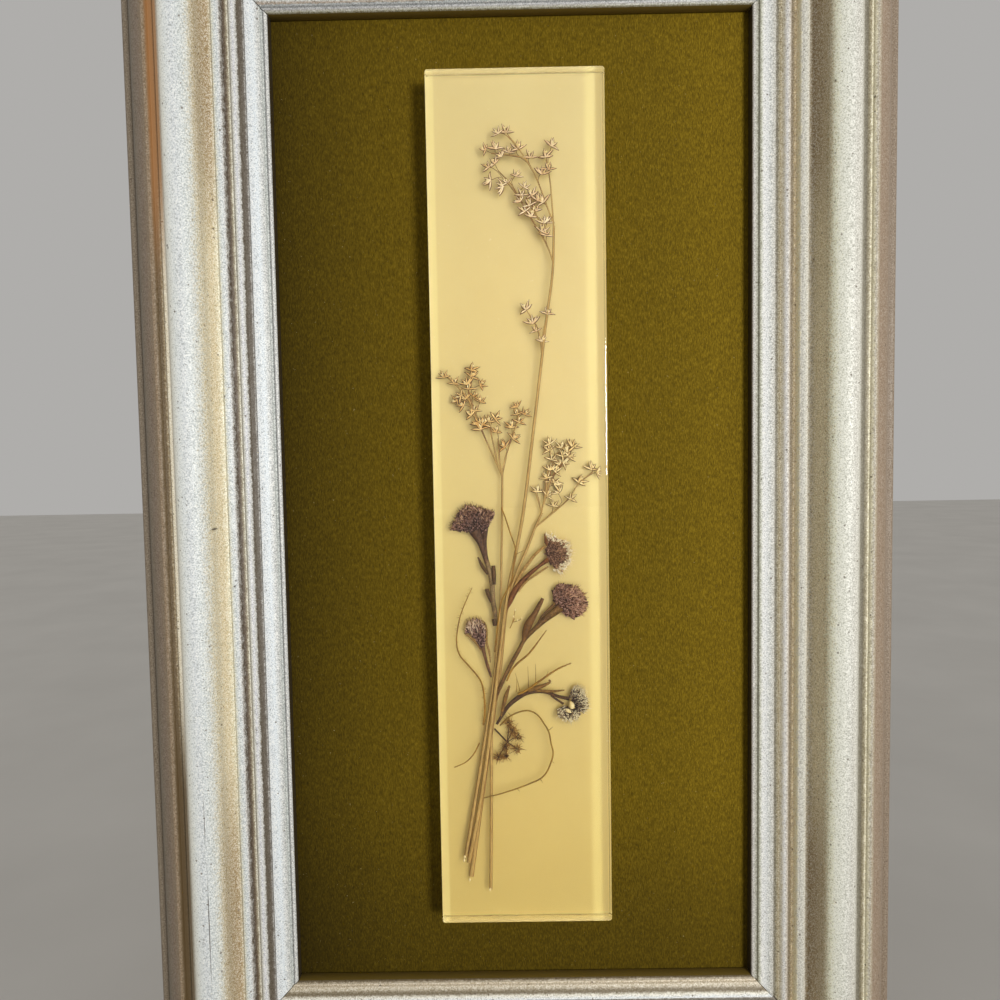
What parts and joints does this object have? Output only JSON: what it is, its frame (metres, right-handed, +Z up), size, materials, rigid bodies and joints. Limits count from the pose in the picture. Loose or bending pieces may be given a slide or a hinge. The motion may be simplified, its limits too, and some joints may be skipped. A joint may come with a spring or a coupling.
{
  "type": "pressed flower resin plaque",
  "caption": "Dried meadow flowers sealed in a long clear resin plaque with a cream backing, on an olive velvet board in a moulded silver-leafed picture frame.",
  "frame": {"origin": "the point on the back plane of the top rail, in the middle of its width, where the wall nail carries the sawtooth hanger", "axes": "+Z up along the picture's long side, +Y back towards the wall, so the picture's front faces -Y, and +X to the viewer's right"},
  "size_m": [0.234, 0.0283, 0.387],
  "materials": {
    "frame": "worn silver leaf over a bronze and brown ground",
    "velvet": "olive velvet, short pile",
    "back_panel": "plain grey-brown board",
    "cream_resin": "opaque cream-yellow cast resin",
    "clear_resin": "clear polished cast resin",
    "rush": "dry straw",
    "flower": "dry bracts and stems",
    "tendril": "dry golden-brown tendrils",
    "steel": "plain bright steel"
  },
  "bodies": {
    "root": {"frame_rail_left": "frame", "frame_rail_right": "frame", "frame_rail_top": "frame", "frame_rail_bottom": "frame", "velvet_board": "velvet", "back_panel": "back_panel", "framing_point_1": "steel", "framing_point_2": "steel", "framing_point_3": "steel", "framing_point_4": "steel", "framing_point_5": "steel", "framing_point_6": "steel", "framing_point_7": "steel", "framing_point_8": "steel", "sawtooth_hanger": "steel", "hanger_nail_1": "steel", "hanger_nail_2": "steel", "cream_backing": "cream_resin", "clear_resin_back": "clear_resin", "clear_resin_front": "clear_resin", "tall_rush": "rush", "left_rush": "rush", "right_rush": "rush", "straw_stem": "rush", "upper_left_flower": "flower", "white_tipped_flower": "flower", "rose_flower": "flower", "lower_left_flower": "flower", "speckled_flower": "flower", "golden_tendril": "tendril", "left_tendril": "tendril", "short_tendril": "tendril", "loop_tendril": "tendril", "smooth_twig": "tendril", "feathery_twig": "tendril", "brown_umbel": "tendril", "golden_sprig": "tendril"}
  },
  "joints": []
}
